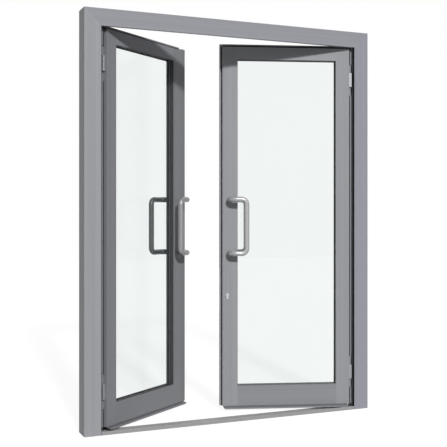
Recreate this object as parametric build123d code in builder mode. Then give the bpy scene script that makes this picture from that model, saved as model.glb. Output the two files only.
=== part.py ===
from build123d import *
import math
import os

# Aluminium double door with its frame, both leaves standing open.
# Units are millimetres. The origin is the middle of the frame's base on the floor,
# +X runs to the right, +Y from the front face to the back, +Z up.
# Both leaves swing towards +Y. The left leaf is the passive one, the right leaf has the lock.

# Frame
frame_width = 1652.0
frame_height = 2150.0
frame_depth = 110.0
frame_face = 87.3          # width of the front face
front_lip = 17.0           # depth of the front face's lip
stop_face = 84.0           # width of the frame at the stop the leaf closes against
stop_depth = 34.0          # from the frame's front to the stop's back
rebate_face = 64.0         # width of the frame beside the leaf
frame_wall = 2.5
fixing_hole = 10.5         # diameter of the wall fixing holes
fixing_first = 400.0       # height of the lowest wall fixing
fixing_step = 450.0
fixing_count = 4
fixing_depth = 92.0        # from the frame's front to the fixing holes
lip_trim = 2.0             # thickness of the trim on the jambs' front lips
lip_trim_front = 1.5
strip_width = 6.0          # seal on the stop
strip_height = 1.1
strip_inset = 4.0          # from the stop's edge to its seal
keep_length = 60.0         # plate under the head for the upper flush bolt
keep_width = 22.0
keep_thickness = 3.0

# Threshold
threshold_plate = 5.0
threshold_lip = 18.0       # height of the front upstand
threshold_lip_width = 5.5
threshold_end_gap = 0.3

# Leaf position
leaf_setback = 22.0        # from the frame's front to the closed leaf's front
pivot_inset = 86.0         # from the frame's outer side to the hinge axis
pivot_back = 12.0          # from the leaf's back to the hinge axis
nose_gap = 20.0            # between the two leaves' front edges when closed
floor_gap = 30.0           # under the leaves
head_gap = 11.0            # above the leaves, inside the rebate
left_open = 36.5           # opening angle of the left leaf as shown
right_open = 17.6          # opening angle of the right leaf as shown

# Leaf sections
leaf_depth = 52.0
leaf_wall = 2.3
corner_offset = 1.0        # from the hinge axis to the leaf's front corner
hinge_face = 78.0          # visible width of the hinge stile
active_face = 86.0         # visible width of the right leaf's meeting stile
passive_face = 80.5        # visible width of the left leaf's meeting stile
adapter_face = 40.0        # visible width of the passive leaf's meeting profile
top_face = 70.0
bottom_face = 113.5
nose_width = 17.0          # rounded band along the meeting edges
nose_drop = 3.5
flange = 17.0              # how far the leaf's back reaches past its front
active_flange = 13.0       # the same on the right leaf's meeting edge
flange_back = 16.0         # from the front face to the flange
flange_rim = 7.5           # bright rim outside the seal groove
active_rim = 7.0
groove = 5.0               # depth of the seal groove
edge_seal = 2.0            # thickness of the seal on the groove's floor
adapter_drop = 9.0         # how much lower the meeting profile ends

# Glazing
stop_lip = 14.0            # depth of the fixed glazing lip
glass_rebate = 22.0        # height of the glazing rebate
glass_bite = 15.0          # how far the glass reaches into it
front_seal = 4.0
pane = 6.0
cavity = 12.0
rear_seal = 3.0
seal_sight = 1.5           # seal visible beside the glass
lining_front = 2.0         # from the leaf's front to the lining of the glazing lip
lining_back = 2.0          # from the leaf's back to the lining of the beads
spacer_outer = 3.0         # from the pane's edge to the spacer
spacer_inner = 12.0
bead_gap = 0.2
bead_sight = 1.0           # how far the beads stand back from the edge of the glass opening
block_length = 100.0

# Hinges
hinge_low = 210.0
hinge_drop = 194.0         # from the top of the leaves to the upper hinges
knuckle_radius = 10.0
leaf_knuckle = 80.0
frame_knuckle = 46.0
knuckle_gap = 0.5
pin_radius = 5.0
pin_clearance = 0.05
hinge_plate = 5.0
hinge_plate_length = 46.0
clamp_gap = 0.5            # between a clamp and the leaf's front corner
clamp_height = 80.0
clamp_thickness = 13.0
clamp_clearance = 1.5      # round a swinging clamp in the frame's stop
notch_height = 176.0
screw_radius = 2.5
screw_head = 5.0
screw_length = 16.0
screw_clearance = 0.1
frame_screw_back = 17.0    # from the hinge axis to the frame plate's screws
frame_screw_offsets = (-60.0, -20.0, 20.0, 60.0)
leaf_screw_offsets = (-26.0, 26.0)
leaf_screw_columns = (18.0, 36.0)

# Pull handles
tube_radius = 15.0
tube_wall = 2.0
handle_centres = 302.0
handle_height = 1045.0
handle_standoff = 68.0
handle_reach = 88.0
back_handle_reach = 108.0
handle_bend = 34.0
handle_corner = 28.0
post_inset = 42.0          # from the meeting edge to the handle's posts
passive_post_inset = 62.0
stud_radius = 5.0
stud_clearance = 0.2
plug_length = 22.0

# Lock
lock_height = 658.0
lock_inset = 42.0          # from the flange's edge to the cylinder
cylinder_radius = 8.5
cylinder_tail = 10.0
cylinder_drop = 24.5
cylinder_stand = 3.0
plug_radius = 6.5
plug_clearance = 0.05
cam_radius = 15.0
cam_width = 8.0
cam_slot = 10.0
cam_clearance = 1.5        # between the turning cam and the lock case
faceplate_height = 238.0
faceplate_width = 22.0
faceplate_thickness = 3.0
faceplate_rise = 22.0      # from the cylinder to the faceplate's middle
case_height = 210.0
case_wall = 1.5
case_gap = 0.1             # between the lock case and its faceplate
bolt_rise = 77.0           # from the cylinder to the dead bolt
bolt_tall = 25.0
bolt_thick = 12.6
bolt_throw = 20.0
bolt_length = 44.0
slide_clearance = 0.3
strike_width = 20.0
strike_height = 90.0
strike_thickness = 3.0
strike_gap = 1.5           # round the dead bolt in its strike plate
fit_gap = 0.2              # round plates let into the meeting edges

# Sliding flush bolts of the passive leaf
rod_radius = 5.0
rod_throw = 33.0
rod_length = 150.0
rod_set_back = 2.0         # how far the tips stand inside the profile when drawn back
rod_inset = 15.0           # from the meeting edge to the rods
thumb_height = 24.0
thumb_width = 9.0
thumb_recess = 1.0         # below the case's face
case_wall_end = 14.0
flush_case_length = 22.0
socket_gap = 1.0           # round the rods in their sockets

# Bottom seals
drip_reach = 14.0
drip_neck = 8.0
drip_tip = 14.0            # height of the drip's lower edge
drip_lip = 9.5
drip_slant = 13.0          # how far the drip's ends slope inwards
brush_width = 6.0
brush_gap = 0.8            # between the brush and the threshold

# Worked out from the sizes above
front_y = -frame_depth / 2
outer_x = frame_width / 2
pivot_x = outer_x - pivot_inset
pivot_y = front_y + leaf_setback + leaf_depth + pivot_back
face_v = -(leaf_depth + pivot_back)
leaf_reach = pivot_x - nose_gap / 2
leaf_top = frame_height - rebate_face - head_gap
front_top = leaf_top - flange
sight_low = floor_gap + bottom_face
sight_high = front_top - top_face
sight_hinge = corner_offset + hinge_face
hinge_high = leaf_top - hinge_drop
glass_front = stop_lip + front_seal
glass_back = glass_front + 2 * pane + cavity
bead_front = glass_back + rear_seal
stile_edge = {"left": leaf_reach - adapter_face, "right": leaf_reach}
stile_face = {"left": passive_face, "right": active_face}
sight_meeting = {s: stile_edge[s] - stile_face[s] for s in ("left", "right")}
post_u = {"left": leaf_reach - passive_post_inset, "right": leaf_reach - post_inset}
lock_u = leaf_reach + active_flange - lock_inset
bolt_mid = (flange_back + groove + leaf_depth) / 2
bolt_height = lock_height + bolt_rise
faceplate_centre = lock_height + faceplate_rise
case_end = leaf_reach + active_flange - faceplate_thickness - case_gap
case_start = lock_u - cam_radius - cam_clearance - case_wall
rod_x = -pivot_x + leaf_reach - rod_inset
rod_y = pivot_y + face_v + bolt_mid
rod_tips = {"upper": leaf_top - adapter_drop - rod_set_back, "lower": floor_gap + rod_set_back}
rod_ways = {"upper": 1, "lower": -1}
flush_case_height = thumb_height + rod_throw + 2 * (thumb_recess + case_wall_end)
flush_case_middles = {
    end: rod_tips[end] + way * (thumb_height / 2 + rod_throw / 2 - rod_length)
    for end, way in rod_ways.items()
}
hinge_total = leaf_knuckle + 2 * (frame_knuckle + knuckle_gap)
wall_x = -outer_x + rebate_face
post_heights = (handle_height - handle_centres / 2, handle_height + handle_centres / 2)
clamp_front = flange_back + groove - clamp_thickness
clamp_sweep = math.hypot(flange - corner_offset, leaf_depth + pivot_back - clamp_front)
clamp_clear_y = pivot_y - clamp_sweep - clamp_clearance

# Every piece of a leaf is built on the left, at its own leaf's opening angle.
# The plane of a leaf has its origin on the hinge axis, x along the leaf and y to its back.
angles = {"left": left_open, "right": right_open}
leaf_planes = {
    side: Plane(
        origin=(-pivot_x, pivot_y, 0),
        x_dir=(math.cos(math.radians(angle)), math.sin(math.radians(angle)), 0),
        z_dir=(0, 0, 1),
    )
    for side, angle in angles.items()
}

os.makedirs("parts", exist_ok=True)


def save(piece, name):
    """Label a finished piece and write it out."""
    piece.label = name
    export_step(piece, f"parts/{name}.step")


def turn_to(side):
    """Mirror the piece under construction when it belongs to the right leaf."""
    if side == "right":
        mirror(about=Plane.YZ, mode=Mode.REPLACE)


def block(plane, low, high, mode=Mode.ADD):
    """A plain bar between two corners given in a plane's own directions."""
    size = [b - a for a, b in zip(low, high)]
    middle = [(a + b) / 2 for a, b in zip(low, high)]
    with Locations(plane.location * Location(tuple(middle))):
        Box(*size, mode=mode)


def across(leaf, u, z=0.0):
    """The plane across a leaf at u: x is up, y is to the leaf's back."""
    return Plane(origin=leaf.from_local_coords((u, 0, z)), x_dir=(0, 0, 1), z_dir=-leaf.x_dir)


def through(leaf, u, t, z):
    """The plane parallel to a leaf's face, t behind it: x is along the leaf, normal to the front."""
    return Plane(origin=leaf.from_local_coords((u, face_v + t, z)), x_dir=leaf.x_dir, z_dir=-leaf.y_dir)


# Frame

frame_outline = [
    (0, 0),
    (frame_face, 0),
    (frame_face, front_lip),
    (stop_face, front_lip),
    (stop_face, stop_depth),
    (rebate_face, stop_depth),
    (rebate_face, frame_depth),
    (0, frame_depth),
]
frame_chambers = [
    ((frame_wall, frame_wall), (frame_face - frame_wall, front_lip - frame_wall)),
    ((frame_wall, front_lip), (stop_face - frame_wall, stop_depth - frame_wall)),
    ((frame_wall, stop_depth), (rebate_face - frame_wall, frame_depth - frame_wall)),
]
jamb_plane = Plane(origin=(-outer_x, front_y, 0), x_dir=(1, 0, 0), z_dir=(0, 0, 1))
head_plane = Plane(origin=(-outer_x, front_y, frame_height), x_dir=(0, 0, -1), z_dir=(1, 0, 0))
mitre_left = Plane(origin=(-outer_x, 0, frame_height), x_dir=(0, 1, 0), z_dir=(1, 0, 1))
mitre_right = Plane(origin=(outer_x, 0, frame_height), x_dir=(0, 1, 0), z_dir=(-1, 0, 1))
fixing_heights = [fixing_first + fixing_step * n for n in range(fixing_count)]
fixing_y = front_y + fixing_depth


def outline(points):
    """A closed face through a list of corners."""
    Polygon(*points, align=None)


def frame_section():
    """Draw the frame's hollow section: x across the face, y to the back."""
    outline(frame_outline)
    for low, high in frame_chambers:
        with Locations(((low[0] + high[0]) / 2, (low[1] + high[1]) / 2)):
            Rectangle(high[0] - low[0], high[1] - low[1], mode=Mode.SUBTRACT)


def jamb(side):
    with BuildPart() as piece:
        with BuildSketch(jamb_plane):
            frame_section()
        extrude(amount=frame_height)
        split(bisect_by=mitre_left, keep=Keep.BOTTOM)
        for height in fixing_heights:
            with Locations(Plane(origin=(-outer_x, fixing_y, height), z_dir=(1, 0, 0))):
                Cylinder(fixing_hole / 2, 3 * rebate_face, mode=Mode.SUBTRACT)
        for place in frame_screw_places(wall_x):
            with Locations(place):
                Cylinder(screw_radius + screw_clearance, 3 * frame_wall, mode=Mode.SUBTRACT)
        clamp_notches(-1)
        turn_to(side)
    return piece.part


def clamp_notches(way):
    """Cut the frame's stop away where the hinge clamps of one side swing past it."""
    half = clamp_height / 2 + clamp_clearance
    for height in (hinge_low, hinge_high):
        near, far = sorted((way * (outer_x - rebate_face), way * (outer_x - stop_face - 1)))
        block(
            Plane.XY,
            (near, clamp_clear_y, height - half),
            (far, front_y + stop_depth + strip_height + 1, height + half),
            mode=Mode.SUBTRACT,
        )


def frame_screw_places(x):
    """Where the frame's hinge screws meet a plane at x, pointing away from the jamb."""
    return [
        Plane(origin=(x, pivot_y + frame_screw_back, height + offset), z_dir=(1, 0, 0)).location
        for height in (hinge_low, hinge_high)
        for offset in frame_screw_offsets
    ]


for side in ("left", "right"):
    save(jamb(side), f"jamb_{side}")

with BuildPart() as head:
    with BuildSketch(head_plane):
        frame_section()
    extrude(amount=frame_width)
    split(bisect_by=mitre_left, keep=Keep.TOP)
    split(bisect_by=mitre_right, keep=Keep.TOP)
    # socket of the passive leaf's upper flush bolt
    with Locations((rod_x, rod_y, frame_height - rebate_face)):
        Cylinder(rod_radius + socket_gap + 0.5, 3 * frame_wall, mode=Mode.SUBTRACT)
save(head.part, "head")

# The cleats that pull the mitres together lie inside the frame's back chamber.
cleat_leg = 70.0
cleat_gap = 0.5
cleat_front = 6.0          # from the stop's back to the cleats
cleat_depth = 30.0
with BuildPart() as cleats:
    low = frame_wall + cleat_gap
    high = rebate_face - frame_wall - cleat_gap
    with BuildSketch(Plane(origin=(0, front_y + stop_depth + cleat_front, 0), x_dir=(1, 0, 0), z_dir=(0, 1, 0))):
        with BuildLine():
            Polyline(
                (-outer_x + low, -frame_height + low),
                (-outer_x + high + cleat_leg, -frame_height + low),
                (-outer_x + high + cleat_leg, -frame_height + high),
                (-outer_x + high, -frame_height + high),
                (-outer_x + high, -frame_height + high + cleat_leg),
                (-outer_x + low, -frame_height + high + cleat_leg),
                close=True,
            )
        make_face()
    extrude(amount=cleat_depth)
    mirror(about=Plane.YZ)
save(cleats.part, "corner_cleats")


def frame_strip(low, high):
    """A strip of soft profile round the frame's two jambs and head, mitred like them."""
    size = (high[0] - low[0], high[1] - low[1])
    middle = ((low[0] + high[0]) / 2, (low[1] + high[1]) / 2)
    with BuildPart() as upright:
        with BuildSketch(jamb_plane.offset(threshold_lip)):
            with Locations(middle):
                Rectangle(*size)
        extrude(amount=frame_height - threshold_lip)
        split(bisect_by=mitre_left, keep=Keep.BOTTOM)
    with BuildPart() as lintel:
        with BuildSketch(head_plane):
            with Locations(middle):
                Rectangle(*size)
        extrude(amount=frame_width)
        split(bisect_by=mitre_left, keep=Keep.TOP)
        split(bisect_by=mitre_right, keep=Keep.TOP)
    with BuildPart() as strip:
        add(upright.part)
        mirror(upright.part, about=Plane.YZ)
        add(lintel.part)
    return strip.part


with BuildPart() as trims:
    trim_x = outer_x - frame_face
    block(
        Plane.XY,
        (-trim_x, front_y + lip_trim_front, threshold_lip),
        (-trim_x + lip_trim, front_y + front_lip, frame_height - frame_face),
    )
    mirror(about=Plane.YZ)
save(trims.part, "lip_trims")

with BuildPart() as stops:
    add(
        frame_strip(
            (stop_face - strip_inset - strip_width, stop_depth),
            (stop_face - strip_inset, stop_depth + strip_height),
        )
    )
    for way in (-1, 1):
        clamp_notches(way)
save(stops.part, "stop_seals")

with BuildPart() as threshold:
    inner_x = outer_x - rebate_face - threshold_end_gap
    lip_x = outer_x - frame_face - lip_trim - threshold_end_gap
    stop_x = outer_x - stop_face - threshold_end_gap
    with BuildSketch(Plane(origin=(-inner_x, front_y, 0), x_dir=(0, 1, 0), z_dir=(1, 0, 0))):
        with BuildLine():
            Polyline(
                (0, 0),
                (frame_depth, 0),
                (frame_depth, threshold_plate - 2),
                (frame_depth - 4, threshold_plate),
                (threshold_lip_width + 3, threshold_plate),
                (threshold_lip_width, threshold_plate + 3),
                (threshold_lip_width, threshold_lip - 1),
                (threshold_lip_width - 1, threshold_lip),
                (1, threshold_lip),
                (0, threshold_lip - 1),
                close=True,
            )
        make_face()
    extrude(amount=2 * inner_x)
    for end in (-1, 1):
        block(
            Plane.XY,
            (min(end * lip_x, end * outer_x), front_y - 1, -1),
            (max(end * lip_x, end * outer_x), front_y + front_lip + 0.3, threshold_lip + 1),
            mode=Mode.SUBTRACT,
        )
        block(
            Plane.XY,
            (min(end * stop_x, end * outer_x), front_y - 1, -1),
            (max(end * stop_x, end * outer_x), front_y + stop_depth + 0.3, threshold_lip + 1),
            mode=Mode.SUBTRACT,
        )
    # socket of the passive leaf's lower flush bolt
    with Locations((rod_x, rod_y, 0)):
        Cylinder(rod_radius + socket_gap, 4 * threshold_plate, mode=Mode.SUBTRACT)
save(threshold.part, "threshold")

# The keep for the upper bolt is a plate on the underside of the head.
with BuildPart() as keep:
    with Locations((rod_x, rod_y, frame_height - rebate_face - keep_thickness / 2)):
        Box(keep_length, keep_width, keep_thickness)
        fillet(keep.part.edges().filter_by(Axis.Z), 3)
        Cylinder(rod_radius + socket_gap, 3 * keep_thickness, mode=Mode.SUBTRACT)
save(keep.part, "head_keep")


# Hinges

def hinge_frame_part(side):
    """The frame's half of both hinges: two knuckles and a plate against the rebate."""
    with BuildPart() as piece:
        for height in (hinge_low, hinge_high):
            block(
                Plane.XY,
                (wall_x, pivot_y - knuckle_radius + 1, height - hinge_total / 2),
                (wall_x + hinge_plate, front_y + frame_depth - 2, height + hinge_total / 2),
            )
            for end in (-1, 1):
                middle = height + end * (leaf_knuckle / 2 + knuckle_gap + frame_knuckle / 2)
                with Locations((-pivot_x, pivot_y, middle)):
                    Cylinder(knuckle_radius, frame_knuckle)
                block(
                    Plane.XY,
                    (wall_x + hinge_plate - 1, pivot_y - 4, middle - frame_knuckle / 2),
                    (-pivot_x, pivot_y + 4, middle + frame_knuckle / 2),
                )
            with Locations((-pivot_x, pivot_y, height)):
                Cylinder(pin_radius + pin_clearance, 2 * hinge_total, mode=Mode.SUBTRACT)
        for place in frame_screw_places(wall_x + hinge_plate):
            with Locations(place):
                countersink(hinge_plate)
        turn_to(side)
    return piece.part


def countersink(depth):
    """Cut a countersunk screw's hole with its clearance."""
    CounterSinkHole(screw_radius + screw_clearance, screw_head + screw_clearance, 3 * depth)


def countersunk_screw():
    """A countersunk screw: its head flush at the location, its shank pointing below."""
    top = (Align.CENTER, Align.CENTER, Align.MAX)
    Cylinder(screw_radius, screw_length, align=top)
    Cone(screw_radius, screw_head, screw_head - screw_radius, align=top)


def hinge_pins():
    with BuildPart() as piece:
        rim = pin_radius + 3.5
        half = hinge_total / 2
        for height in (hinge_low, hinge_high):
            middle = (-pivot_x, pivot_y, height)
            with BuildSketch(Plane(origin=middle, x_dir=(1, 0, 0), z_dir=(0, -1, 0))):
                outline(
                    [
                        (0, -half - 4),
                        (rim - 1, -half - 4),
                        (rim, -half - 3),
                        (rim, -half),
                        (pin_radius, -half),
                        (pin_radius, half),
                        (rim, half),
                        (rim, half + 3),
                        (rim - 1, half + 4),
                        (0, half + 4),
                    ]
                )
            revolve(axis=Axis((-pivot_x, pivot_y, 0), (0, 0, 1)))
        mirror(about=Plane.YZ)
    return piece.part


def hinge_frame_screws():
    with BuildPart() as piece:
        for place in frame_screw_places(wall_x + hinge_plate):
            with Locations(place):
                countersunk_screw()
        mirror(about=Plane.YZ)
    return piece.part


for side in ("left", "right"):
    save(hinge_frame_part(side), f"hinge_frame_{side}")
save(hinge_pins(), "hinge_pins")
save(hinge_frame_screws(), "hinge_frame_screws")


def leaf_screw_places(leaf, v):
    """Where a leaf's hinge screws meet the plane at v, pointing to the leaf's back."""
    return [
        Plane(origin=leaf.from_local_coords((u, v, height + offset)), z_dir=leaf.y_dir).location
        for height in (hinge_low, hinge_high)
        for offset in leaf_screw_offsets
        for u in leaf_screw_columns
    ]


def hinge_leaf_part(side):
    """The leaf's half of both hinges: one knuckle and a plate on the leaf's back."""
    leaf = leaf_planes[side]
    with BuildPart() as piece:
        for height in (hinge_low, hinge_high):
            with Locations(leaf.location * Location((0, 0, height))):
                Cylinder(knuckle_radius, leaf_knuckle)
            block(
                leaf,
                (0, -pivot_back, height - leaf_knuckle / 2),
                (hinge_plate_length, -pivot_back + hinge_plate, height + leaf_knuckle / 2),
            )
            with Locations(leaf.location * Location((0, 0, height))):
                Cylinder(pin_radius + pin_clearance, 2 * leaf_knuckle, mode=Mode.SUBTRACT)
        for place in leaf_screw_places(leaf, -pivot_back + hinge_plate):
            with Locations(place):
                countersink(hinge_plate)
        turn_to(side)
    return piece.part


def hinge_leaf_screws(side):
    with BuildPart() as piece:
        for place in leaf_screw_places(leaf_planes[side], -pivot_back + hinge_plate):
            with Locations(place):
                countersunk_screw()
        turn_to(side)
    return piece.part


def hinge_clamps(side):
    """Bright clamping bars on the flange, opposite the hinge plates."""
    leaf = leaf_planes[side]
    edge = corner_offset - clamp_gap
    with BuildPart() as piece:
        for height in (hinge_low, hinge_high):
            block(
                leaf,
                (corner_offset - flange, face_v + clamp_front, height - clamp_height / 2),
                (edge, face_v + clamp_front + clamp_thickness, height + clamp_height / 2),
            )
        chamfer(piece.part.faces().sort_by(leaf_axis(leaf))[0:2].edges(), 1)
        turn_to(side)
    return piece.part


def leaf_axis(leaf):
    """The direction through a leaf from its front to its back."""
    return Axis(leaf.origin, leaf.y_dir)


# Leaf profiles

def stile_points(corner, inward, face, reach, rim, nose=False):
    """Corners of a leaf profile with a flange, from its front corner inwards."""
    shape = [
        (0, nose_drop if nose else 0),
        (face, 0),
        (face, stop_lip),
        (face - glass_rebate, stop_lip),
        (face - glass_rebate, leaf_depth),
        (-reach, leaf_depth),
        (-reach, flange_back),
        (rim - reach, flange_back),
        (rim - reach, flange_back + groove),
        (0, flange_back + groove),
    ]
    if nose:
        shape.insert(1, (nose_width / 3, nose_drop / 3))
        shape.insert(2, (nose_width, 0))
    return [(corner + inward * s, face_v + t) for s, t in shape]


def plain_points(corner, inward, face):
    """Corners of a leaf profile without a flange."""
    shape = [
        (0, 0),
        (face, 0),
        (face, stop_lip),
        (face - glass_rebate, stop_lip),
        (face - glass_rebate, leaf_depth),
        (0, leaf_depth),
    ]
    return [(corner + inward * s, face_v + t) for s, t in shape]


def chambers(corner, inward, face, reach):
    """Low and high corners of a leaf profile's hollow chambers."""
    wall = leaf_wall
    spans = [
        ((wall + nose_drop, wall + nose_drop), (face - wall, stop_lip - wall)),
        ((wall, stop_lip), (face - glass_rebate - wall, leaf_depth - wall)),
    ]
    if reach > 0:
        spans.append(((wall - reach, flange_back + groove + wall), (0, leaf_depth - wall)))
    return [
        ((corner + inward * (a[0] + b[0]) / 2, face_v + (a[1] + b[1]) / 2), abs(b[0] - a[0]), b[1] - a[1])
        for a, b in spans
    ]


def hollow(hollows, mode):
    """Draw a leaf profile's chambers."""
    for middle, width, height in hollows:
        with Locations(middle):
            Rectangle(width, height, mode=mode)


def trim_head(leaf, low_u, high_u):
    """Set the front of a full-height stile back from the top, as on the top rail."""
    for back, top in (
        (flange_back, leaf_top + 1),
        (flange_back + groove, leaf_top - flange_rim),
    ):
        block(
            leaf,
            (low_u - 1, face_v - 1, front_top),
            (high_u + 1, face_v + back, top),
            mode=Mode.SUBTRACT,
        )


def hinge_stile(side):
    leaf = leaf_planes[side]
    with BuildPart() as piece:
        points = stile_points(corner_offset, 1, hinge_face, flange, flange_rim)
        hollows = chambers(corner_offset, 1, hinge_face, flange)
        with BuildSketch(leaf.offset(floor_gap)):
            outline(points)
        extrude(amount=leaf_top - floor_gap)
        # closed above the chambers, where the corner is solid
        with BuildSketch(leaf.offset(floor_gap)):
            hollow(hollows, Mode.ADD)
        extrude(amount=front_top - leaf_wall - floor_gap, mode=Mode.SUBTRACT)
        trim_head(leaf, corner_offset - flange, corner_offset + hinge_face)
        # the rim is milled away beside each hinge
        for height in (hinge_low, hinge_high):
            block(
                leaf,
                (corner_offset - flange - 1, face_v, height - notch_height / 2),
                (corner_offset, face_v + flange_back + groove, height + notch_height / 2),
                mode=Mode.SUBTRACT,
            )
        for place in leaf_screw_places(leaf, -pivot_back):
            with Locations(place):
                Cylinder(screw_radius + screw_clearance, 3 * leaf_wall, mode=Mode.SUBTRACT)
        turn_to(side)
    return piece.part


def euro_profile(gap=0.0):
    """The keyhole-shaped section of the lock cylinder."""
    Circle(cylinder_radius + gap)
    with Locations((0, -(cylinder_drop - cylinder_tail / 2) / 2)):
        Rectangle(cylinder_tail + 2 * gap, cylinder_drop - cylinder_tail / 2)
    with Locations((0, -(cylinder_drop - cylinder_tail / 2))):
        Circle(cylinder_tail / 2 + gap)


def meeting_stile(side):
    leaf = leaf_planes[side]
    edge = stile_edge[side]
    face = stile_face[side]
    active = side == "right"
    with BuildPart() as piece:
        if active:
            points = stile_points(edge, -1, face, active_flange, active_rim, nose=True)
            hollows = chambers(edge, -1, face, active_flange)
        else:
            points = plain_points(edge, -1, face)
            hollows = chambers(edge, -1, face, 0)
        with BuildSketch(leaf.offset(floor_gap)):
            outline(points)
        extrude(amount=leaf_top - floor_gap)
        with BuildSketch(leaf.offset(floor_gap)):
            hollow(hollows, Mode.ADD)
        extrude(amount=front_top - leaf_wall - floor_gap, mode=Mode.SUBTRACT)
        trim_head(leaf, edge - face, edge + active_flange)
        for height in post_heights:
            with Locations(through(leaf, post_u[side], leaf_depth / 2, height)):
                Cylinder(stud_radius + stud_clearance, 2 * leaf_depth, mode=Mode.SUBTRACT)
        if active:
            with BuildSketch(through(leaf, lock_u, -1, lock_height)):
                euro_profile(slide_clearance)
            extrude(amount=-(leaf_depth + 2), mode=Mode.SUBTRACT)
            block(
                leaf,
                (
                    case_start - 1,
                    face_v + bolt_mid - faceplate_width / 2 - 0.2,
                    faceplate_centre - faceplate_height / 2 - 0.2,
                ),
                (
                    edge + active_flange + 1,
                    face_v + bolt_mid + faceplate_width / 2 + 0.2,
                    faceplate_centre + faceplate_height / 2 + 0.2,
                ),
                mode=Mode.SUBTRACT,
            )
        turn_to(side)
    return piece.part


def rail(side, corner, inward, face, reach):
    """A rail between the stiles, notched at its ends to lie over their glazing rebates."""
    leaf = leaf_planes[side]
    low_u = sight_hinge - glass_rebate
    high_u = sight_meeting[side] + glass_rebate
    with BuildPart() as piece:
        if reach > 0:
            points = stile_points(corner, inward, face, reach, flange_rim)
        else:
            points = plain_points(corner, inward, face)
        with BuildSketch(across(leaf, high_u)):
            outline(points)
            hollow(chambers(corner, inward, face, reach), Mode.SUBTRACT)
        extrude(amount=high_u - low_u)
        for near, far in ((low_u - 1, sight_hinge), (sight_meeting[side], high_u + 1)):
            block(
                leaf,
                (near, face_v - 1, floor_gap - 1),
                (far, face_v + stop_lip, leaf_top + 1),
                mode=Mode.SUBTRACT,
            )
        turn_to(side)
    return piece.part


def adapter():
    """The passive leaf's meeting profile, screwed along its stile."""
    leaf = leaf_planes["left"]
    edge = leaf_reach
    low = edge - adapter_face
    top = leaf_top - adapter_drop
    with BuildPart() as piece:
        with BuildSketch(leaf.offset(floor_gap)):
            outline(
                [
                    (edge, face_v + nose_drop),
                    (edge - nose_width / 3, face_v + nose_drop / 3),
                    (edge - nose_width, face_v),
                    (low, face_v),
                    (low, face_v + leaf_depth),
                    (edge, face_v + leaf_depth),
                ]
            )
        extrude(amount=top - floor_gap)
        wall = leaf_wall
        with BuildSketch(leaf.offset(floor_gap)):
            with Locations((edge - adapter_face / 2, face_v + (leaf_depth + nose_drop) / 2)):
                Rectangle(adapter_face - 2 * wall, leaf_depth - nose_drop - 2 * wall)
        extrude(amount=top - wall - floor_gap, mode=Mode.SUBTRACT)
        # the upper flush bolt comes out through the closed top
        with Locations(leaf.location * Location((edge - rod_inset, face_v + bolt_mid, top))):
            Cylinder(rod_radius + slide_clearance, 4 * wall, mode=Mode.SUBTRACT)
        # windows for the flush bolts' cases and the strike plate
        half = strike_width / 2 + fit_gap
        windows = [(middle, flush_case_height) for middle in flush_case_middles.values()]
        windows.append((bolt_height, strike_height))
        for middle, height in windows:
            block(
                leaf,
                (edge - wall - 1, face_v + bolt_mid - half, middle - height / 2 - fit_gap),
                (edge + 1, face_v + bolt_mid + half, middle + height / 2 + fit_gap),
                mode=Mode.SUBTRACT,
            )
    return piece.part


# Flush bolts

def flush_bolt_cases():
    """Slotted boxes in the meeting edge that the flush bolts' thumb pieces slide in."""
    leaf = leaf_planes["left"]
    edge = leaf_reach
    slot = flush_case_height - 2 * case_wall_end
    half = thumb_width / 2 + slide_clearance
    with BuildPart() as piece:
        for middle in flush_case_middles.values():
            block(
                leaf,
                (
                    edge - flush_case_length,
                    face_v + bolt_mid - strike_width / 2,
                    middle - flush_case_height / 2,
                ),
                (edge, face_v + bolt_mid + strike_width / 2, middle + flush_case_height / 2),
            )
            block(
                leaf,
                (edge - rod_inset, face_v + bolt_mid - half, middle - slot / 2),
                (edge + 1, face_v + bolt_mid + half, middle + slot / 2),
                mode=Mode.SUBTRACT,
            )
            with Locations(leaf.location * Location((edge - rod_inset, face_v + bolt_mid, middle))):
                Cylinder(rod_radius + slide_clearance, 2 * flush_case_height, mode=Mode.SUBTRACT)
    return piece.part


def flush_bolt(end):
    """A flush bolt: its rod, with a bevelled tip, and the ribbed thumb piece at its tail."""
    leaf = leaf_planes["left"]
    way = rod_ways[end]
    tail = rod_tips[end] - way * rod_length
    thumb = tail + way * thumb_height / 2
    with BuildPart() as piece:
        place = Location((leaf_reach - rod_inset, face_v + bolt_mid, tail + way * rod_length / 2))
        with Locations(leaf.location * place):
            Cylinder(rod_radius, rod_length)
        rims = piece.part.edges().filter_by(GeomType.CIRCLE).sort_by(Axis.Z)
        chamfer(rims[-1] if way > 0 else rims[0], 1.5)
        block(
            leaf,
            (leaf_reach - rod_inset, face_v + bolt_mid - thumb_width / 2, thumb - thumb_height / 2),
            (leaf_reach - thumb_recess, face_v + bolt_mid + thumb_width / 2, thumb + thumb_height / 2),
        )
        with Locations(leaf.location * Location((leaf_reach - thumb_recess, face_v + bolt_mid, thumb))):
            with GridLocations(0, 0, 1, 1):
                for rib in (-8, -4, 0, 4, 8):
                    with Locations((0, 0, rib)):
                        Box(1.6, 2 * thumb_width, 1.6, mode=Mode.SUBTRACT)
    return piece.part


# Glazing

def sheets(side, layers):
    """Flat layers over the glass opening, each given by its front, thickness and edges."""
    leaf = leaf_planes[side]
    width = sight_meeting[side] - sight_hinge
    height = sight_high - sight_low
    middle = ((sight_meeting[side] + sight_hinge) / 2, (sight_low + sight_high) / 2)
    with BuildPart() as piece:
        for front, thickness, outside, inside in layers:
            with BuildSketch(through(leaf, middle[0], front, middle[1])):
                Rectangle(width + 2 * outside, height + 2 * outside)
                if inside is not None:
                    Rectangle(width - 2 * inside, height - 2 * inside, mode=Mode.SUBTRACT)
            extrude(amount=-thickness)
        turn_to(side)
    return piece.part


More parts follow.
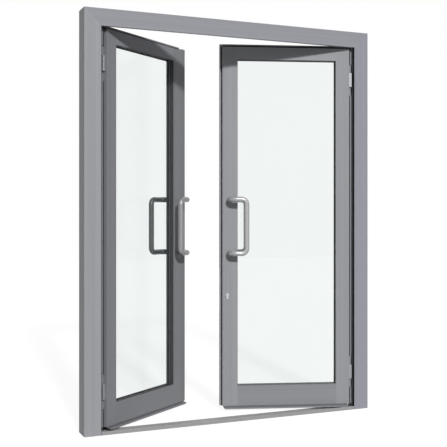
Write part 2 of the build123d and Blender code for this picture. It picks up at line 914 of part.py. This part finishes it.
def beads(side):
    """Four clipped glazing beads: the level ones full width, the upright ones between them."""
    leaf = leaf_planes[side]
    clip = 5.0
    floor = glass_rebate - bead_gap
    shape = [
        (floor, bead_front),
        (floor, bead_front - rear_seal - 1),
        (floor - clip, bead_front - rear_seal - 1),
        (floor - clip, bead_front),
        (bead_sight, bead_front),
        (bead_sight, leaf_depth - 1.5),
        (bead_sight + 1.5, leaf_depth),
        (floor, leaf_depth),
    ]
    low_u = sight_hinge - floor
    high_u = sight_meeting[side] + floor
    with BuildPart() as piece:
        for edge, way in ((sight_low, -1), (sight_high, 1)):
            with BuildSketch(across(leaf, high_u)):
                outline([(edge + way * s, face_v + t) for s, t in shape])
            extrude(amount=high_u - low_u)
        for edge, way in ((sight_hinge, -1), (sight_meeting[side], 1)):
            with BuildSketch(leaf.offset(sight_low - bead_sight + bead_gap)):
                outline([(edge + way * s, face_v + t) for s, t in shape])
            extrude(amount=sight_high - sight_low + 2 * (bead_sight - bead_gap))
        turn_to(side)
    return piece.part


def setting_blocks(side):
    leaf = leaf_planes[side]
    width = sight_meeting[side] - sight_hinge
    with BuildPart() as piece:
        for share in (0.25, 0.75):
            middle = sight_hinge + share * width
            block(
                leaf,
                (middle - block_length / 2, face_v + glass_front, sight_low - glass_rebate),
                (middle + block_length / 2, face_v + glass_back - 2.5, sight_low - glass_bite),
            )
        turn_to(side)
    return piece.part


# Seals and drip profile of a leaf

def edge_seals(side):
    """Flat seals on the groove's floor: along the hinge stile, the top and the meeting edge."""
    leaf = leaf_planes[side]
    low_t = face_v + flange_back + groove - edge_seal
    high_t = face_v + flange_back + groove
    groove_out = corner_offset - flange + flange_rim
    half = notch_height / 2
    spans = (
        (floor_gap, hinge_low - half),
        (hinge_low + half, hinge_high - half),
        (hinge_high + half, front_top),
    )
    with BuildPart() as piece:
        for start, end in spans:
            block(leaf, (groove_out + 0.1, low_t, start + 0.1), (corner_offset - 0.1, high_t, end - 0.1))
        block(
            leaf,
            (groove_out + 0.1, low_t, front_top + 0.1),
            (stile_edge[side] - 0.1, high_t, leaf_top - flange_rim - 0.1),
        )
        if side == "right":
            block(
                leaf,
                (leaf_reach + 0.1, low_t, floor_gap + 0.1),
                (leaf_reach + active_flange - active_rim - 0.1, high_t, front_top - 0.1),
            )
        turn_to(side)
    return piece.part


def drip(side):
    """The drip profile under a leaf: a set-back neck and a sloped lip that stands forward."""
    leaf = leaf_planes[side]
    start = frame_face + lip_trim - pivot_inset + 4
    end = leaf_reach - 2
    shape = [
        (drip_neck, floor_gap),
        (leaf_depth - 22, floor_gap),
        (leaf_depth - 22, floor_gap - 2.5),
        (drip_neck + 2.5, floor_gap - 2.5),
        (drip_neck + 2.5, drip_tip + drip_lip - 2),
        (-drip_reach + 2.5, drip_tip + drip_lip - 4.5),
        (-drip_reach + 2.5, drip_tip),
        (-drip_reach, drip_tip),
        (-drip_reach, drip_tip + drip_lip - 2),
        (drip_neck, drip_tip + drip_lip + 1),
    ]
    with BuildPart() as piece:
        with BuildSketch(across(leaf, end)):
            outline([(z, face_v + t) for t, z in shape])
        extrude(amount=end - start)
        # both ends slope inwards below the leaf
        for tip, way in ((start, 1), (end, -1)):
            with BuildSketch(through(leaf, 0, -drip_reach - 1, 0)):
                outline(
                    [
                        (tip, floor_gap),
                        (tip - way, floor_gap),
                        (tip - way, drip_tip - 1),
                        (tip + way * drip_slant, drip_tip - 1),
                    ]
                )
            extrude(amount=-(leaf_depth + drip_reach), mode=Mode.SUBTRACT)
        turn_to(side)
    return piece.part


def brush(side):
    """A brush strip in its holder under the leaf's back half."""
    leaf = leaf_planes[side]
    middle = face_v + leaf_depth - 10
    start = corner_offset + 2
    end = leaf_reach - rod_inset - rod_radius - 3
    with BuildPart() as piece:
        block(leaf, (start, middle - 5, floor_gap - 6), (end, middle + 5, floor_gap))
        block(
            leaf,
            (start, middle - brush_width / 2, threshold_plate + brush_gap),
            (end, middle + brush_width / 2, floor_gap - 6),
        )
        turn_to(side)
    return piece.part


# Pull handles

def handle(side, back):
    """A cranked pull handle, with a plug in each end that its stud screws into."""
    leaf = leaf_planes[side]
    way = 1 if back else -1
    base = 0.0 if back else -leaf_depth
    face = base - pivot_back
    u = post_u[side]
    reach = back_handle_reach if back else handle_reach
    low, high = post_heights
    route = [
        (u, face, low),
        (u, face + way * handle_standoff, low),
        (u - reach, face + way * handle_standoff, low),
        (u - reach, face + way * handle_standoff, high),
        (u, face + way * handle_standoff, high),
        (u, face, high),
    ]
    with BuildPart() as piece:
        with BuildLine() as path:
            FilletPolyline(
                *[leaf.from_local_coords(point) for point in route],
                radius=[handle_bend, handle_corner, handle_corner, handle_bend],
            )
        start = Plane(
            origin=leaf.from_local_coords(route[0]), x_dir=leaf.x_dir, z_dir=way * leaf.y_dir
        )
        with BuildSketch(start):
            Circle(tube_radius)
            Circle(tube_radius - tube_wall, mode=Mode.SUBTRACT)
        sweep(path=path.line)
        for height in post_heights:
            seat = Plane(
                origin=leaf.from_local_coords((u, face, height)), x_dir=leaf.x_dir, z_dir=way * leaf.y_dir
            )
            with BuildSketch(seat):
                Circle(tube_radius - tube_wall)
                Circle(stud_radius + stud_clearance / 4, mode=Mode.SUBTRACT)
            extrude(amount=plug_length)
        turn_to(side)
    return piece.part


def handle_studs(side):
    leaf = leaf_planes[side]
    grip = plug_length - 2
    with BuildPart() as piece:
        for height in post_heights:
            middle = through(leaf, post_u[side], leaf_depth / 2, height)
            with Locations(middle):
                Cylinder(stud_radius, leaf_depth + 2 * grip)
        turn_to(side)
    return piece.part


# Lock of the right leaf

def lock_case():
    leaf = leaf_planes["right"]
    half = faceplate_width / 2 - 1
    wall = case_wall
    low = (case_start, face_v + bolt_mid - half, faceplate_centre - case_height / 2)
    high = (case_end, face_v + bolt_mid + half, faceplate_centre + case_height / 2)
    with BuildPart() as piece:
        block(leaf, low, high)
        block(
            leaf,
            tuple(a + wall for a in low),
            tuple(b - wall for b in high),
            mode=Mode.SUBTRACT,
        )
        with BuildSketch(through(leaf, lock_u, -1, lock_height)):
            euro_profile(slide_clearance)
        extrude(amount=-(leaf_depth + 2), mode=Mode.SUBTRACT)
        bolt_opening(leaf, case_end)
        turn_to("right")
    return piece.part


def bolt_opening(leaf, u):
    """The opening that the dead bolt slides through."""
    gap = slide_clearance
    block(
        leaf,
        (u - 5, face_v + bolt_mid - bolt_thick / 2 - gap, bolt_height - bolt_tall / 2 - gap),
        (u + 5, face_v + bolt_mid + bolt_thick / 2 + gap, bolt_height + bolt_tall / 2 + gap),
        mode=Mode.SUBTRACT,
    )


def faceplate():
    leaf = leaf_planes["right"]
    end = leaf_reach + active_flange
    half = faceplate_width / 2
    with BuildPart() as piece:
        block(
            leaf,
            (end - faceplate_thickness, face_v + bolt_mid - half, faceplate_centre - faceplate_height / 2),
            (end, face_v + bolt_mid + half, faceplate_centre + faceplate_height / 2),
        )
        bolt_opening(leaf, end)
        for offset in (-faceplate_height / 2 + 10, faceplate_height / 2 - 10):
            seat = leaf.from_local_coords((end, face_v + bolt_mid, faceplate_centre + offset))
            with Locations(Plane(origin=seat, z_dir=leaf.x_dir)):
                CounterSinkHole(screw_radius, screw_head - 1, 4 * faceplate_thickness)
        turn_to("right")
    return piece.part


def cylinder():
    leaf = leaf_planes["right"]
    with BuildPart() as piece:
        with BuildSketch(through(leaf, lock_u, -cylinder_stand, lock_height)):
            euro_profile()
            Circle(plug_radius + plug_clearance, mode=Mode.SUBTRACT)
        extrude(amount=-(leaf_depth + 2 * cylinder_stand))
        # the gap in which the cam turns, with the bridge below it
        block(
            leaf,
            (
                lock_u - cylinder_radius - 1,
                face_v + bolt_mid - cam_slot / 2,
                lock_height - cam_radius - 1,
            ),
            (
                lock_u + cylinder_radius + 1,
                face_v + bolt_mid + cam_slot / 2,
                lock_height + cylinder_radius + 1,
            ),
            mode=Mode.SUBTRACT,
        )
        turn_to("right")
    return piece.part


def lock_plug():
    """The turning core with its keyway and its cam."""
    leaf = leaf_planes["right"]
    with BuildPart() as piece:
        with BuildSketch(through(leaf, lock_u, -cylinder_stand, lock_height)):
            Circle(plug_radius)
        extrude(amount=-(leaf_depth + 2 * cylinder_stand))
        cam_face = through(leaf, lock_u, bolt_mid - cam_width / 2, lock_height)
        with BuildSketch(cam_face):
            Circle(cylinder_radius)
            with Locations((0, cam_radius / 2)):
                Rectangle(cam_width - 1, cam_radius)
        extrude(amount=-cam_width)
        with Locations(through(leaf, lock_u, -cylinder_stand, lock_height)):
            Box(1.8, 8.0, 24, mode=Mode.SUBTRACT)
        turn_to("right")
    return piece.part


def dead_bolt():
    leaf = leaf_planes["right"]
    end = leaf_reach + active_flange
    with BuildPart() as piece:
        block(
            leaf,
            (end - bolt_length, face_v + bolt_mid - bolt_thick / 2, bolt_height - bolt_tall / 2),
            (end, face_v + bolt_mid + bolt_thick / 2, bolt_height + bolt_tall / 2),
        )
        outer = piece.part.faces().sort_by(Axis(leaf.origin, leaf.x_dir))[-1]
        chamfer(outer.edges(), 0.8)
        turn_to("right")
    return piece.part


def strike_plate():
    """The passive leaf's plate with the hole the dead bolt enters."""
    leaf = leaf_planes["left"]
    with BuildPart() as piece:
        block(
            leaf,
            (
                leaf_reach - strike_thickness,
                face_v + bolt_mid - strike_width / 2,
                bolt_height - strike_height / 2,
            ),
            (leaf_reach, face_v + bolt_mid + strike_width / 2, bolt_height + strike_height / 2),
        )
        with Locations(leaf.location * Location((leaf_reach, face_v + bolt_mid, bolt_height))):
            Box(
                3 * strike_thickness,
                bolt_thick + 2 * strike_gap,
                bolt_tall + 2 * strike_gap,
                mode=Mode.SUBTRACT,
            )
        for offset in (-strike_height / 2 + 10, strike_height / 2 - 10):
            place = leaf.from_local_coords((leaf_reach, face_v + bolt_mid, bolt_height + offset))
            with Locations(Plane(origin=place, z_dir=leaf.x_dir)):
                CounterSinkHole(screw_radius, screw_head - 1, 4 * strike_thickness)
    return piece.part


gasket_bite = glass_bite - 3
pane_layers = [
    (glass_front, pane, glass_bite, None),
    (glass_front + pane + cavity, pane, glass_bite, None),
]
spacer_layers = [
    (glass_front + pane, cavity, glass_bite - spacer_outer, spacer_inner - glass_bite),
]
# the gaskets' tongues reach beside the glass and also line the lip's and the beads' sides
gasket_layers = [
    (lining_front, stop_lip - lining_front, 0, seal_sight),
    (stop_lip, front_seal, gasket_bite, seal_sight),
    (glass_back, rear_seal, gasket_bite, seal_sight),
    (bead_front, leaf_depth - lining_back - bead_front, bead_sight, seal_sight),
]
for side in ("left", "right"):
    save(hinge_leaf_part(side), f"hinge_leaf_{side}")
    save(hinge_leaf_screws(side), f"hinge_screws_{side}")
    save(hinge_clamps(side), f"hinge_clamps_{side}")
    save(hinge_stile(side), f"hinge_stile_{side}")
    save(meeting_stile(side), f"meeting_stile_{side}")
    save(rail(side, front_top, -1, top_face, flange), f"top_rail_{side}")
    save(rail(side, floor_gap, 1, bottom_face, 0), f"bottom_rail_{side}")
    save(sheets(side, pane_layers), f"glass_panes_{side}")
    save(sheets(side, spacer_layers), f"glass_spacer_{side}")
    save(sheets(side, gasket_layers), f"glass_gaskets_{side}")
    save(beads(side), f"glazing_beads_{side}")
    save(setting_blocks(side), f"setting_blocks_{side}")
    save(edge_seals(side), f"edge_seals_{side}")
    save(drip(side), f"drip_profile_{side}")
    save(brush(side), f"brush_seal_{side}")
    save(handle(side, False), f"front_handle_{side}")
    save(handle(side, True), f"back_handle_{side}")
    save(handle_studs(side), f"handle_studs_{side}")

save(adapter(), "meeting_profile")
save(flush_bolt_cases(), "flush_bolt_cases")
save(flush_bolt("upper"), "upper_flush_bolt")
save(flush_bolt("lower"), "lower_flush_bolt")
save(strike_plate(), "strike_plate")
save(lock_case(), "lock_case")
save(faceplate(), "lock_faceplate")
save(cylinder(), "lock_cylinder")
save(lock_plug(), "lock_plug")
save(dead_bolt(), "dead_bolt")
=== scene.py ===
import math

import bpy
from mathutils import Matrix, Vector

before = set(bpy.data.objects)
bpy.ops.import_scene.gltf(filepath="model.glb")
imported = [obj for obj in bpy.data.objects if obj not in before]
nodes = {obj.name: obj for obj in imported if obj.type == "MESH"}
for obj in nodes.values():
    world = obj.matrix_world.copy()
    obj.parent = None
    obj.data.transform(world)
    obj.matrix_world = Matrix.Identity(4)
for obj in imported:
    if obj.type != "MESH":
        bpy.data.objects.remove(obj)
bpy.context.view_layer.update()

scene = bpy.context.scene

# Camera, at the photograph's angle
camera_place = (-1.8437, -4.2452, 1.1208)
camera_turn = 22.922       # degrees to the right of straight ahead
camera_lens = 68.73
camera_sensor = 36.0
camera_shift = -0.0241
camera_reach = 100.0

# Sun
sun_turn = 6.0             # degrees that it stands to the left of the door's front
sun_slope = 0.51           # how far its light falls for each metre it goes back
sun_strength = 2.5
sun_width = 5.0            # degrees across, which softens the shadows' edges

# Light from the room, brightest from the front and a little from the left
room_way = (-0.36, -0.93, 0.0)
room_range = (-0.7, 0.9)   # how far along room_way the light is darkest and brightest
room_dark = (0.070, 0.070, 0.074)
room_light = (0.230, 0.230, 0.236)

# Floor
floor_size = 30.0
floor_drop = 0.0005        # how far it lies below the door's base
floor_dark = (0.62, 0.62, 0.62)
floor_light = (0.66, 0.66, 0.66)
floor_white = 0.93         # the part of the seen white that shadows don't touch
floor_faint = 0.18         # the diffuse colour that carries the faint shadow

# Lines in the surfaces, as grains of noise per metre along x, y and z
upright = (900.0, 900.0, 4.0)
level = (4.0, 900.0, 900.0)
band_share = 12            # how many times broader the bands are than the fine lines
handle_lines = (60.0, 60.0, 1400.0)
fastener_lines = (500.0, 500.0, 30.0)
plated_lines = (1200.0, 1200.0, 200.0)
bristle_lines = (1600.0, 1600.0, 20.0)
noise_middle = (0.25, 0.75)   # the part of a noise's range that is spread out

# How the leaves stand open in the photograph
left_turn = math.radians(36.5)
right_turn = -math.radians(17.6)

# Radii to which the shading softens the edges
metal_edge = 0.0007
steel_edge = 0.0005
rubber_edge = 0.0006
bristle_edge = 0.0003
edge_samples = 4

# Degrees from which an edge is sharp
turned_angle = 35          # on the handles and the turned pieces
flat_angle = 25            # on everything else

# Glass
glass_waves = 1.6          # grains of noise per metre
ripple_depth = 0.0002
ripple_strength = 0.05
glass_dark = (0.966, 0.975, 0.973)
glass_light = (0.970, 0.979, 0.977)
mirror_part = 0.012        # how much of what the eye sees is a mirror image
mirror_roughness = 0.03
mirror_tone = (0.90, 0.95, 0.95)

# Anodised finish
anodised_dark = (0.270, 0.274, 0.290)
anodised_light = (0.310, 0.314, 0.332)
anodised_roughness = 0.60


# Materials

class Graph:
    """A small helper for building a node material."""

    def __init__(self, name):
        self.material = bpy.data.materials.new(name)
        self.material.use_nodes = True
        self.tree = self.material.node_tree
        self.tree.nodes.clear()
        self.output = self.add("ShaderNodeOutputMaterial")

    def add(self, kind, **values):
        node = self.tree.nodes.new(kind)
        for key, value in values.items():
            setattr(node, key, value)
        return node

    def link(self, source, target):
        self.tree.links.new(source, target)

    def position(self):
        """The point in the object's own coordinates, which move with the piece."""
        return self.add("ShaderNodeTexCoord").outputs["Object"]

    def stretched(self, scale, turn=0.0):
        """The object's coordinates turned about the vertical, then scaled."""
        mapping = self.add("ShaderNodeMapping", vector_type="TEXTURE")
        mapping.inputs["Scale"].default_value = [1 / s for s in scale]
        mapping.inputs["Rotation"].default_value = (0, 0, turn)
        self.link(self.position(), mapping.inputs["Vector"])
        return mapping.outputs["Vector"]

    def noise(self, vector, scale=1.0, detail=2.0, roughness=0.5):
        noise = self.add("ShaderNodeTexNoise")
        noise.inputs["Scale"].default_value = scale
        noise.inputs["Detail"].default_value = detail
        noise.inputs["Roughness"].default_value = roughness
        self.link(vector, noise.inputs["Vector"])
        return noise.outputs["Fac"]

    def spread(self, value, low, high):
        """The middle of a noise, spread over a range."""
        node = self.add("ShaderNodeMapRange")
        node.inputs["From Min"].default_value = noise_middle[0]
        node.inputs["From Max"].default_value = noise_middle[1]
        node.inputs["To Min"].default_value = low
        node.inputs["To Max"].default_value = high
        self.link(value, node.inputs["Value"])
        return node.outputs["Result"]

    def tint(self, value, dark, light):
        """A colour between two, dark where the value is 0 and light where it is 1."""
        node = self.add("ShaderNodeMix", data_type="RGBA")
        share, first, second = node.inputs[0], node.inputs[6], node.inputs[7]
        first.default_value = (*dark, 1)
        second.default_value = (*light, 1)
        self.link(value, share)
        return node.outputs[2]

    def rounded(self, radius, height, depth, strength):
        """A normal with softened edges and a fine bump."""
        bevel = self.add("ShaderNodeBevel", samples=edge_samples)
        bevel.inputs["Radius"].default_value = radius
        bump = self.add("ShaderNodeBump")
        bump.inputs["Distance"].default_value = depth
        bump.inputs["Strength"].default_value = strength
        self.link(height, bump.inputs["Height"])
        self.link(bevel.outputs["Normal"], bump.inputs["Normal"])
        return bump.outputs["Normal"]

    def surface(self, **values):
        """A Principled shader: sockets in the values are linked, numbers are set on it."""
        shader = self.add("ShaderNodeBsdfPrincipled")
        for key, value in values.items():
            socket = shader.inputs[key.replace("_", " ")]
            if isinstance(value, bpy.types.NodeSocket):
                self.link(value, socket)
            else:
                socket.default_value = value
        self.show(shader.outputs["BSDF"])

    def blend(self, share, first, second):
        """The first shader where the share is 0, the second where it is 1."""
        mix = self.add("ShaderNodeMixShader")
        self.link(share, mix.inputs["Fac"])
        self.link(first, mix.inputs[1])
        self.link(second, mix.inputs[2])
        self.show(mix.outputs["Shader"])

    def show(self, shader):
        self.link(shader, self.output.inputs["Surface"])


def aluminium(name, dark, light, roughness, metallic, scale, turn=0.0):
    """Aluminium with broad bands and fine lines along the extrusion."""
    g = Graph(name)
    bands = g.noise(g.stretched([s / band_share for s in scale], turn))
    lines = g.noise(g.stretched(scale, turn))
    g.surface(
        Base_Color=g.tint(g.spread(bands, 0.0, 1.0), dark, light),
        Metallic=metallic,
        Roughness=g.spread(lines, roughness - 0.04, roughness + 0.04),
        Normal=g.rounded(metal_edge, lines, depth=0.00004, strength=0.25),
    )
    return g.material


def profile(name, share, scale, turn=0.0, blue=1.0):
    """The anodised finish. Its share is painted light and shade: it lightens or darkens each piece
    of the one finish, and blue makes it a little bluer.
    """
    dark, light = [
        (tone[0] * share, tone[1] * share, tone[2] * share * blue)
        for tone in (anodised_dark, anodised_light)
    ]
    return aluminium(name, dark, light, anodised_roughness, 0.0, scale, turn)


def floor_profile():
    """The threshold: mill finish, with painted light that makes it lighter where it faces up."""
    g = Graph("mill_aluminium")
    lines = g.noise(g.stretched(level))
    painted_light_facing = g.add("ShaderNodeSeparateXYZ")
    g.link(g.add("ShaderNodeNewGeometry").outputs["Normal"], painted_light_facing.inputs["Vector"])
    g.surface(
        # Painted light: faces that point up are lighter.
        Base_Color=g.tint(painted_light_facing.outputs["Z"], (0.300, 0.300, 0.302), (0.480, 0.480, 0.480)),
        Roughness=g.spread(lines, 0.5, 0.6),
        Normal=g.rounded(metal_edge, lines, depth=0.00004, strength=0.25),
    )
    return g.material


def brushed(name, tone, scale, roughness, metallic=0.8):
    """Brushed steel or plate with fine lines along one direction and faint smudges."""
    g = Graph(name)
    lines = g.noise(g.stretched(scale), detail=3.0, roughness=0.6)
    smudges = g.noise(g.position(), scale=25.0, detail=3.0)
    g.surface(
        Base_Color=g.tint(lines, [c * 0.93 for c in tone], tone),
        Metallic=metallic,
        Roughness=g.spread(smudges, roughness - 0.05, roughness + 0.06),
        Normal=g.rounded(steel_edge, lines, depth=0.00003, strength=0.3),
    )
    return g.material


def soft(name, dark, light, roughness=0.6, grain=600.0):
    """Black or grey rubber or plastic. Grain is how many grains a metre holds."""
    g = Graph(name)
    spots = g.noise(g.position(), scale=grain, detail=4.0)
    g.surface(
        Base_Color=g.tint(spots, dark, light),
        Specular_IOR_Level=0.15,
        Roughness=g.spread(spots, roughness - 0.06, roughness + 0.08),
        Normal=g.rounded(rubber_edge, spots, depth=0.00006, strength=0.3),
    )
    return g.material


def bristles():
    """The brush strips under the leaves."""
    g = Graph("brush_bristles")
    hairs = g.noise(g.stretched(bristle_lines))
    g.surface(
        Base_Color=g.tint(hairs, (0.010, 0.010, 0.010), (0.050, 0.050, 0.055)),
        Roughness=0.8,
        Normal=g.rounded(bristle_edge, hairs, depth=0.0004, strength=0.8),
    )
    return g.material


def clear_glass():
    """Insulating glass: clear with a faint green tint, and a faint mirror to the eye."""
    g = Graph("clear_glass")
    waves = g.noise(g.position(), scale=glass_waves, detail=1.0)
    bump = g.add("ShaderNodeBump")
    bump.inputs["Distance"].default_value = ripple_depth
    bump.inputs["Strength"].default_value = ripple_strength
    g.link(waves, bump.inputs["Height"])
    through = g.add("ShaderNodeBsdfTransparent")
    g.link(g.tint(waves, glass_dark, glass_light), through.inputs["Color"])
    mirror = g.add("ShaderNodeBsdfGlossy")
    mirror.inputs["Roughness"].default_value = mirror_roughness
    mirror.inputs["Color"].default_value = (*mirror_tone, 1)
    g.link(bump.outputs["Normal"], mirror.inputs["Normal"])
    mirror_share = g.add("ShaderNodeMath", operation="MULTIPLY")
    mirror_share.inputs[0].default_value = mirror_part
    g.link(g.add("ShaderNodeLightPath").outputs["Is Camera Ray"], mirror_share.inputs[1])
    g.blend(mirror_share.outputs["Value"], through.outputs["BSDF"], mirror.outputs["BSDF"])
    return g.material


# Painted light and shade: one finish, with the left jamb lighter and the right jamb, head and
# adapter darker.
jamb_left_metal = profile("anodised_jamb_left", 1.04, upright)
jamb_right_metal = profile("anodised_jamb_right", 0.96, upright, blue=1.08)
head_metal = profile("anodised_head", 0.96, level, blue=1.04)
adapter_metal = profile("anodised_adapter", 0.70, upright)
# Painted light and shade: the left leaf's pieces darker, the right leaf's top rail lighter and its
# bottom rail darker, all one finish.
leaf_metal_lit_and_shaded = {
    "left": {
        "stile": profile("anodised_stile_left", 0.76, upright),
        "top": profile("anodised_top_left", 0.82, level, left_turn, blue=1.03),
        "bottom": profile("anodised_bottom_left", 0.74, level, left_turn),
    },
    "right": {
        "stile": profile("anodised_stile_right", 0.97, upright),
        "top": profile("anodised_top_right", 1.06, level, right_turn),
        "bottom": profile("anodised_bottom_right", 0.84, level, right_turn),
    },
}
bright_plate = aluminium(
    "bright_aluminium",
    (0.30, 0.31, 0.32),
    (0.36, 0.37, 0.38),
    roughness=0.42,
    metallic=0.4,
    scale=upright,
)
spacer = aluminium(
    "spacer_bar",
    (0.070, 0.070, 0.075),
    (0.090, 0.090, 0.095),
    roughness=0.6,
    metallic=0.0,
    scale=upright,
)
threshold_metal = floor_profile()
# The handle tones are painted light and shade: the left front handle darker, the right front
# handle lighter, the back handles darkest.
left_handle_shade_tone = (0.320, 0.320, 0.325)
right_handle_light_tone = (0.440, 0.440, 0.445)
back_handle_shade_tone = (0.130, 0.135, 0.140)
satin_steel = {
    "left": brushed("satin_steel_left_painted_shade", left_handle_shade_tone, handle_lines, roughness=0.32, metallic=0.35),
    "right": brushed("satin_steel_right_painted_light", right_handle_light_tone, handle_lines, roughness=0.32, metallic=0.35),
}
painted_shade_steel = brushed("painted_shade_steel", back_handle_shade_tone, handle_lines, roughness=0.25, metallic=0.2)
plain_steel = brushed("plain_steel", (0.42, 0.42, 0.42), fastener_lines, roughness=0.36)
nickel = brushed("nickel_plate", (0.54, 0.54, 0.57), plated_lines, roughness=0.4)
rubber = soft("seal_rubber", (0.012, 0.012, 0.013), (0.022, 0.022, 0.024))
# Painted light: the right leaf's gaskets are paler than the left leaf's, though both are the same
# rubber.
gasket = {
    "left": soft("gasket_rubber_left", (0.060, 0.060, 0.063), (0.080, 0.080, 0.083)),
    "right": soft("gasket_rubber_right_painted_light", (0.180, 0.180, 0.184), (0.210, 0.210, 0.214)),
}
plastic = soft(
    "setting_plastic",
    (0.02, 0.02, 0.02),
    (0.03, 0.03, 0.03),
    roughness=0.5,
    grain=300.0,
)
brush = bristles()
glass = clear_glass()

looks = {
    "jamb_left": jamb_left_metal,
    "jamb_right": jamb_right_metal,
    "head": head_metal,
    "corner_cleats": head_metal,
    "lip_trims": rubber,
    "stop_seals": rubber,
    "threshold": threshold_metal,
    "hinge_frame_left": jamb_left_metal,
    "hinge_frame_right": jamb_right_metal,
    "meeting_profile": adapter_metal,
    "lock_cylinder": nickel,
    "lock_plug": nickel,
}
steel_pieces = (
    "head_keep",
    "hinge_pins",
    "hinge_frame_screws",
    "flush_bolt_cases",
    "upper_flush_bolt",
    "lower_flush_bolt",
    "strike_plate",
    "lock_case",
    "lock_faceplate",
    "dead_bolt",
)
looks.update({name: plain_steel for name in steel_pieces})
for side, metal in leaf_metal_lit_and_shaded.items():
    looks.update(
        {
            f"hinge_leaf_{side}": metal["stile"],
            f"hinge_screws_{side}": plain_steel,
            f"hinge_clamps_{side}": bright_plate,
            f"hinge_stile_{side}": metal["stile"],
            f"meeting_stile_{side}": metal["stile"],
            f"top_rail_{side}": metal["top"],
            f"bottom_rail_{side}": metal["bottom"],
            f"glass_panes_{side}": glass,
            f"glass_spacer_{side}": spacer,
            f"glass_gaskets_{side}": gasket[side],
            f"glazing_beads_{side}": metal["stile"],
            f"setting_blocks_{side}": plastic,
            f"edge_seals_{side}": rubber,
            f"drip_profile_{side}": metal["bottom"],
            f"brush_seal_{side}": brush,
            f"front_handle_{side}": satin_steel[side],
            f"back_handle_{side}": painted_shade_steel,
            f"handle_studs_{side}": plain_steel,
        }
    )

# The handles and the turned pieces are smooth, everything else keeps its edges
turned_pieces = ("hinge_pins", "lock_cylinder", "lock_plug")
for name, piece in nodes.items():
    piece.data.materials.clear()
    piece.data.materials.append(looks[name])
    if "handle" in name or name in turned_pieces:
        piece.data.shade_smooth()
        piece.data.set_sharp_from_angle(angle=math.radians(turned_angle))
    else:
        piece.data.set_sharp_from_angle(angle=math.radians(flat_angle))


# Floor, background and light

def plane(name, size, height):
    """A level square about the origin."""
    mesh = bpy.data.meshes.new(name)
    half = size / 2
    corners = [(-half, -half, 0), (half, -half, 0), (half, half, 0), (-half, half, 0)]
    mesh.from_pydata(corners, [], [(0, 1, 2, 3)])
    square = bpy.data.objects.new(name, mesh)
    square.location = (0, 0, height)
    scene.collection.objects.link(square)
    return square


def background_rays(tree):
    """1 for the rays that see the white background: from the eye, a mirror or through glass."""
    path = tree.nodes.new("ShaderNodeLightPath")
    seen = path.outputs["Is Camera Ray"]
    for kind in ("Is Glossy Ray", "Is Transmission Ray"):
        either = tree.nodes.new("ShaderNodeMath")
        either.operation = "MAXIMUM"
        tree.links.new(seen, either.inputs[0])
        tree.links.new(path.outputs[kind], either.inputs[1])
        seen = either.outputs["Value"]
    return seen


def white_floor():
    """A pale floor: seen as white with a faint shadow, and lighting the door from below."""
    g = Graph("pale_floor")
    grain = g.noise(g.position(), scale=3.0)
    lit = g.add("ShaderNodeBsdfDiffuse")
    g.link(g.tint(grain, floor_dark, floor_light), lit.inputs["Color"])
    white = g.add("ShaderNodeEmission")
    white.inputs["Strength"].default_value = floor_white
    faint = g.add("ShaderNodeBsdfDiffuse")
    faint.inputs["Color"].default_value = (floor_faint, floor_faint, floor_faint, 1)
    seen = g.add("ShaderNodeAddShader")
    g.link(white.outputs["Emission"], seen.inputs[0])
    g.link(faint.outputs["BSDF"], seen.inputs[1])
    g.blend(background_rays(g.tree), lit.outputs["BSDF"], seen.outputs["Shader"])
    return g.material


def studio():
    """A world that is white to look at and lights the door like a dim room."""
    world = bpy.data.worlds.new("studio")
    world.use_nodes = True
    tree = world.node_tree
    tree.nodes.clear()
    coordinates = tree.nodes.new("ShaderNodeTexCoord")
    along = tree.nodes.new("ShaderNodeVectorMath")
    along.operation = "DOT_PRODUCT"
    along.inputs[1].default_value = room_way
    shift = tree.nodes.new("ShaderNodeMapRange")
    shift.inputs["From Min"].default_value, shift.inputs["From Max"].default_value = room_range
    ramp = tree.nodes.new("ShaderNodeValToRGB")
    ends = ramp.color_ramp.elements
    ends[0].color = (*room_dark, 1)
    ends[1].color = (*room_light, 1)
    light_room = tree.nodes.new("ShaderNodeBackground")
    seen_room = tree.nodes.new("ShaderNodeBackground")
    seen_room.inputs["Color"].default_value = (1, 1, 1, 1)
    mix = tree.nodes.new("ShaderNodeMixShader")
    out = tree.nodes.new("ShaderNodeOutputWorld")
    tree.links.new(coordinates.outputs["Generated"], along.inputs["Vector"])
    tree.links.new(along.outputs["Value"], shift.inputs["Value"])
    tree.links.new(shift.outputs["Result"], ramp.inputs["Fac"])
    tree.links.new(ramp.outputs["Color"], light_room.inputs["Color"])
    tree.links.new(background_rays(tree), mix.inputs["Fac"])
    tree.links.new(light_room.outputs["Background"], mix.inputs[1])
    tree.links.new(seen_room.outputs["Background"], mix.inputs[2])
    tree.links.new(mix.outputs["Shader"], out.inputs["Surface"])
    return world


def sun():
    """The key light, from the front and above."""
    data = bpy.data.lights.new("key", "SUN")
    data.energy = sun_strength
    data.angle = math.radians(sun_width)
    light = bpy.data.objects.new("key", data)
    way = Vector((math.tan(math.radians(sun_turn)), 1.0, -sun_slope))
    light.rotation_euler = way.to_track_quat("-Z", "Y").to_euler()
    scene.collection.objects.link(light)


def photo_camera():
    """The camera that took the photograph, held level and shifted."""
    data = bpy.data.cameras.new("camera")
    data.sensor_width = camera_sensor
    data.lens = camera_lens
    data.shift_y = camera_shift
    data.clip_end = camera_reach
    camera = bpy.data.objects.new("camera", data)
    camera.location = camera_place
    camera.rotation_euler = (math.radians(90), 0, -math.radians(camera_turn))
    scene.collection.objects.link(camera)
    return camera


floor = plane("floor", floor_size, -floor_drop)
floor.data.materials.append(white_floor())
scene.world = studio()
sun()
scene.camera = photo_camera()
scene.view_settings.view_transform = "Standard"
